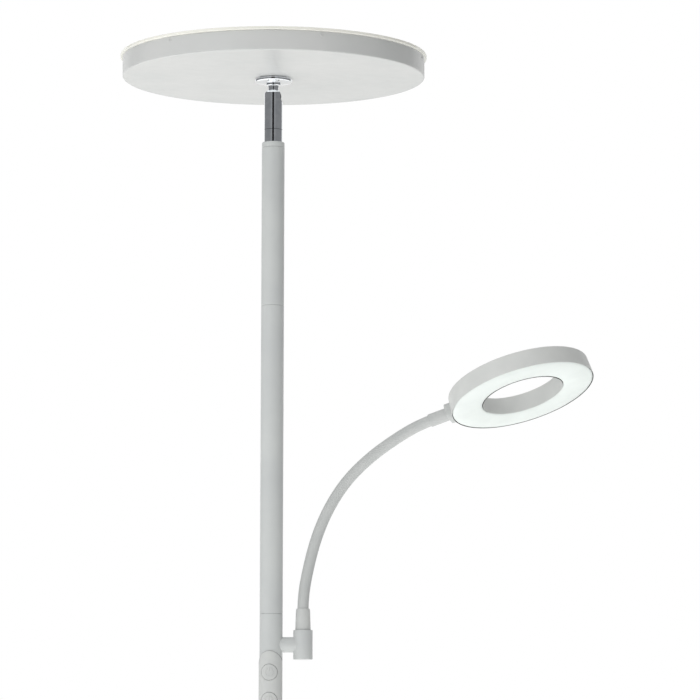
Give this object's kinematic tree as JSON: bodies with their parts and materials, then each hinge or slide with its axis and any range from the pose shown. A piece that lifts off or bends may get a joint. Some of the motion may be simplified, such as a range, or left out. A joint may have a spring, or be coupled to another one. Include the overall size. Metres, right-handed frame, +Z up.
{
  "type": "floor lamp",
  "caption": "Torchiere floor lamp: flat uplight disc on a ball swivel, slim pole on a round weighted base, and a ring reading light on a flexible arm.",
  "frame": {"origin": "on the floor under the pole's axis, at the centre of the base's underside", "axes": "+Z up along the pole; the reading arm leaves the pole towards +X; -Y is the front, where the buttons are"},
  "size_m": [0.4548, 0.297, 1.8006],
  "materials": {
    "tube_paint": "satin light grey powder coat on steel",
    "zinc_steel": "zinc plated",
    "nylon": "natural nylon",
    "chrome": "polished chrome plate",
    "base_paint": "satin light grey powder coat on steel",
    "foam_rubber": "black foam rubber sheet",
    "cast_iron": "raw sand casting",
    "black_rubber": "moulded rubber",
    "spring_steel": "oiled spring steel",
    "pan_paint": "satin light grey powder coat",
    "driver_case": "moulded white case",
    "board_aluminium": "white solder mask on aluminium",
    "arm_plastic": "moulded light grey",
    "flexible_arm": "steel hose in a smooth grey sleeve",
    "switch_plastic": "moulded light grey",
    "opal_polycarbonate": "opal polycarbonate",
    "ring_plastic": "moulded light grey",
    "led_package": "phosphor under clear silicone",
    "circuit_board": "green solder mask",
    "switch_case": "black moulding",
    "opal_acrylic": "opal acrylic"
  },
  "bodies": {
    "stand": {"arm_cup": "tube_paint", "arm_nut": "zinc_steel", "arm_stub": "tube_paint", "base_cover": "base_paint", "base_pad": "foam_rubber", "base_weight": "cast_iron", "cord_grommet": "black_rubber", "foot_collar": "base_paint", "foot_nipple": "zinc_steel", "foot_nut": "zinc_steel", "foot_washer": "zinc_steel", "joint_nipples": "zinc_steel", "lower_ferrule": "arm_plastic", "lower_tube_1": "tube_paint", "lower_tube_2": "tube_paint", "lower_tube_3": "tube_paint", "middle_tube": "tube_paint", "neck_link_1": "flexible_arm", "pole_collar": "tube_paint", "switch_board": "circuit_board", "switch_cover": "switch_plastic", "switch_tube": "tube_paint", "swivel_base": "chrome", "tact_switches": "switch_case", "tube_plugs": "zinc_steel", "upper_tube": "tube_paint"},
    "swivel": {"swivel_cap": "chrome", "swivel_bushing": "nylon", "ball_seat": "nylon", "disc_springs": "spring_steel"},
    "uplight": {"ball_stud": "chrome", "head_flange": "chrome", "head_washer": "zinc_steel", "head_nut": "zinc_steel", "head_pan": "pan_paint", "plate_standoffs": "zinc_steel", "led_plate": "board_aluminium", "uplight_leds": "led_package", "led_driver": "driver_case", "uplight_diffuser": "opal_acrylic", "rim_screws": "zinc_steel"},
    "neck_2": {"neck_link_2": "flexible_arm"},
    "neck_3": {"neck_link_3": "flexible_arm"},
    "neck_4": {"neck_link_4": "flexible_arm"},
    "neck_5": {"neck_link_5": "flexible_arm"},
    "neck_6": {"neck_link_6": "flexible_arm"},
    "neck_7": {"neck_link_7": "flexible_arm"},
    "neck_8": {"neck_link_8": "flexible_arm"},
    "reading_head": {"upper_ferrule": "arm_plastic", "ring_boss": "arm_plastic", "ring_housing": "ring_plastic", "ring_diffuser": "opal_polycarbonate", "ring_board": "board_aluminium", "ring_leds": "led_package"},
    "uplight_button": {"uplight_button": "switch_plastic"},
    "reading_button": {"reading_button": "switch_plastic"}
  },
  "joints": [
    {"name": "head_pan", "type": "hinge", "parent": "stand", "child": "swivel", "pos_m": [0, 0, 1.7603], "axis": [0, 0, 1], "range_deg": [-175, 175]},
    {"name": "head_tilt", "type": "hinge", "parent": "swivel", "child": "uplight", "pos_m": [0, 0, 1.7603], "axis": [0, 1, 0], "range_deg": [-3, 90]},
    {"name": "neck_bend", "type": "hinge", "parent": "stand", "child": "neck_2", "pos_m": [0.03314, -0.00065, 1.29182], "axis": [0.23, 0.9732, 0], "range_deg": [-16, 28]},
    {"name": "neck_sway", "type": "hinge", "parent": "neck_2", "child": "neck_3", "pos_m": [0.03969, -0.0022, 1.32043], "axis": [-0.9378, 0.2217, 0.2672], "range_deg": [-25, 25]},
    {"name": "neck_bend_2", "type": "hinge", "parent": "neck_3", "child": "neck_4", "pos_m": [0.04935, -0.00448, 1.34807], "axis": [0.23, 0.9732, 0], "range_deg": [-16, 28]},
    {"name": "neck_sway_2", "type": "hinge", "parent": "neck_4", "child": "neck_5", "pos_m": [0.06321, -0.00775, 1.37376], "axis": [-0.8068, 0.1907, 0.5592], "range_deg": [-25, 25]},
    {"name": "neck_bend_3", "type": "hinge", "parent": "neck_5", "child": "neck_6", "pos_m": [0.08156, -0.01209, 1.39624], "axis": [0.23, 0.9732, 0], "range_deg": [-16, 28]},
    {"name": "neck_sway_3", "type": "hinge", "parent": "neck_6", "child": "neck_7", "pos_m": [0.10354, -0.01729, 1.41502], "axis": [-0.5651, 0.1336, 0.8141], "range_deg": [-25, 25]},
    {"name": "neck_bend_4", "type": "hinge", "parent": "neck_7", "child": "neck_8", "pos_m": [0.1276, -0.02298, 1.43092], "axis": [0.23, 0.9732, 0], "range_deg": [-16, 28]},
    {"name": "reading_head_twist", "type": "hinge", "parent": "neck_8", "child": "reading_head", "pos_m": [0.15359, -0.02912, 1.44309], "axis": [0.9202, -0.2175, 0.3256], "range_deg": [-60, 60]},
    {"name": "uplight_button_press", "type": "slide", "parent": "stand", "child": "uplight_button", "axis": [0.1392, 0.9903, 0], "range_m": [0, 0.0005], "stiffness_N_per_m": 1500, "springref_m": -0.0003},
    {"name": "reading_button_press", "type": "slide", "parent": "stand", "child": "reading_button", "axis": [0.1392, 0.9903, 0], "range_m": [0, 0.0005], "stiffness_N_per_m": 1500, "springref_m": -0.0003}
  ],
  "couplings": [
    {"joint": "neck_bend_2", "follows": "neck_bend", "ratio": 1},
    {"joint": "neck_sway_2", "follows": "neck_sway", "ratio": 1},
    {"joint": "neck_bend_3", "follows": "neck_bend", "ratio": 1},
    {"joint": "neck_sway_3", "follows": "neck_sway", "ratio": 1},
    {"joint": "neck_bend_4", "follows": "neck_bend", "ratio": 1}
  ]
}
